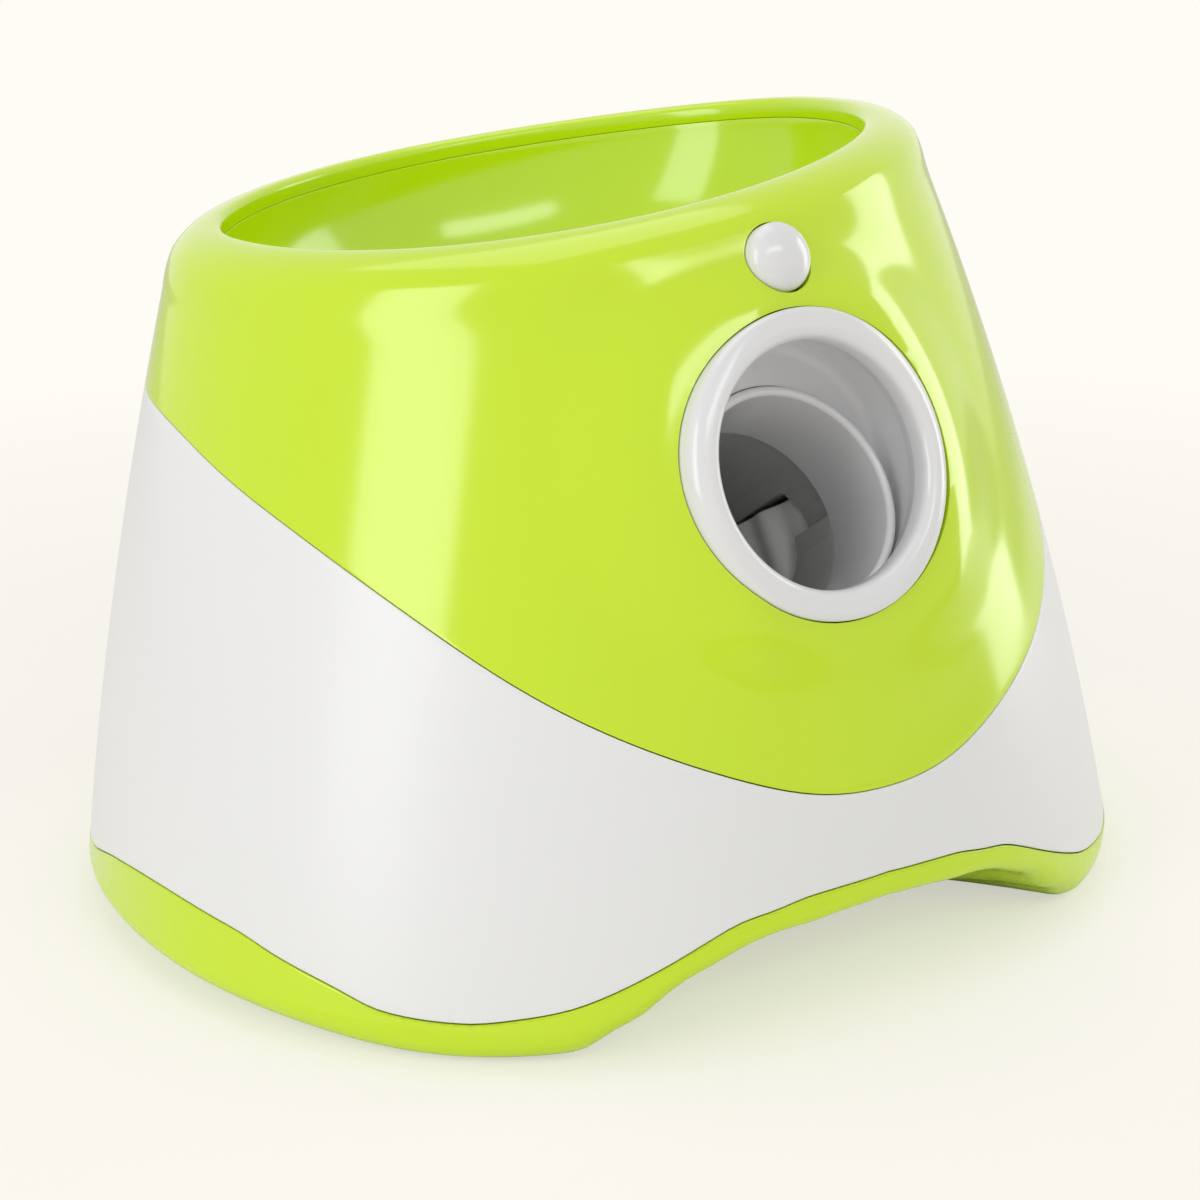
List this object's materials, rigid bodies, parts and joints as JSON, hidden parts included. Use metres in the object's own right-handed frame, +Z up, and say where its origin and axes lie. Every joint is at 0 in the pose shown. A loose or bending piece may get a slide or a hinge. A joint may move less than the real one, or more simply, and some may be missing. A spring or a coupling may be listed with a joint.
{
  "type": "automatic dog ball launcher",
  "caption": "Automatic dog ball launcher: hopper bowl feeds balls through a gate to two spinning wheels that throw them from a tilted nozzle.",
  "frame": {"origin": "middle of the bounding box's footprint, on the ground under the rubber feet", "axes": "+Z up, -Y out of the launch nozzle, +X to the right seen from the nozzle's front"},
  "size_m": [0.2836, 0.2609, 0.1991],
  "materials": {
    "lime_abs": "glossy injection-moulded ABS",
    "white_abs": "satin injection-moulded ABS",
    "white_gloss": "semi-gloss moulded plastic",
    "inner_plastic": "matt moulded plastic",
    "wheel_rubber": "matt thermoplastic rubber",
    "steel": "zinc-plated steel",
    "contact_metal": "plain brass",
    "dark_plastic": "matt black plastic",
    "circuit_board": "solder-masked laminate",
    "light_guide": "smoked clear plastic",
    "foot_rubber": "matt black rubber"
  },
  "bodies": {
    "casing": {"base_pan": "lime_abs", "lower_shell": "white_abs", "top_shell": "lime_abs", "hopper_bowl": "lime_abs", "nozzle_ring": "white_gloss", "barrel_sleeve": "white_gloss", "sensor_dome": "white_gloss", "sensor_board": "circuit_board", "housing_lower": "inner_plastic", "housing_upper": "inner_plastic", "housing_screw_1": "steel", "housing_screw_2": "steel", "housing_screw_3": "steel", "housing_screw_4": "steel", "feed_chute": "inner_plastic", "launch_motor_left": "steel", "launch_motor_right": "steel", "cradle_left": "steel", "cradle_right": "steel", "cradle_screw_1": "steel", "cradle_screw_2": "steel", "cradle_screw_3": "steel", "cradle_screw_4": "steel", "gate_bracket": "steel", "gate_motor": "steel", "control_panel": "white_abs", "switch_body": "dark_plastic", "light_guide": "light_guide", "dc_jack": "dark_plastic", "main_board": "circuit_board", "tact_switch": "dark_plastic", "board_screw_1": "steel", "board_screw_2": "steel", "battery_case": "inner_plastic", "battery_cell_1": "dark_plastic", "battery_cell_2": "dark_plastic", "battery_cell_3": "dark_plastic", "battery_cell_4": "dark_plastic", "battery_cell_5": "dark_plastic", "battery_cell_6": "dark_plastic", "spring_contacts": "contact_metal", "button_contacts": "contact_metal", "rubber_foot_1": "foot_rubber", "rubber_foot_2": "foot_rubber", "rubber_foot_3": "foot_rubber", "rubber_foot_4": "foot_rubber"},
    "left_wheel": {"wheel_hub_left": "inner_plastic", "wheel_tread_left": "wheel_rubber", "wheel_shaft_left": "steel"},
    "right_wheel": {"wheel_hub_right": "inner_plastic", "wheel_tread_right": "wheel_rubber", "wheel_shaft_right": "steel"},
    "gate": {"feed_gate": "inner_plastic", "gate_shaft": "steel", "gate_gear": "inner_plastic"},
    "pinion": {"gate_pinion": "contact_metal", "pinion_shaft": "steel"},
    "rocker": {"power_rocker": "dark_plastic"},
    "button": {"distance_button": "white_gloss"},
    "door": {"battery_door": "lime_abs"}
  },
  "joints": [
    {"name": "left_wheel_spin", "type": "hinge", "parent": "casing", "child": "left_wheel", "pos_m": [-0.053, -0.04158, 0.08502], "axis": [0, 0.5446, 0.8387], "continuous": true},
    {"name": "right_wheel_spin", "type": "hinge", "parent": "casing", "child": "right_wheel", "pos_m": [0.053, -0.04158, 0.08502], "axis": [0, 0.5446, 0.8387], "continuous": true},
    {"name": "gate_swing", "type": "hinge", "parent": "casing", "child": "gate", "pos_m": [0.03302, 0.04682, 0.108], "axis": [0, 0, -1], "range_deg": [0, 80]},
    {"name": "pinion_spin", "type": "hinge", "parent": "casing", "child": "pinion", "pos_m": [0.04653, 0.06033, 0.108], "axis": [0, 0, -1], "range_deg": [-160, 0]},
    {"name": "rocker_tip", "type": "hinge", "parent": "casing", "child": "rocker", "pos_m": [-0.023, 0.1158, 0.065], "axis": [1, 0, 0], "range_deg": [0, 14]},
    {"name": "button_press", "type": "slide", "parent": "casing", "child": "button", "axis": [0, -0.9912, -0.1323], "range_m": [0, 0.0012], "stiffness_N_per_m": 400},
    {"name": "door_swing", "type": "hinge", "parent": "casing", "child": "door", "pos_m": [0, 0.0239, 0.002], "axis": [-1, 0, 0], "range_deg": [0, 95]}
  ],
  "couplings": [
    {"joint": "pinion_spin", "follows": "gate_swing", "ratio": -2}
  ]
}
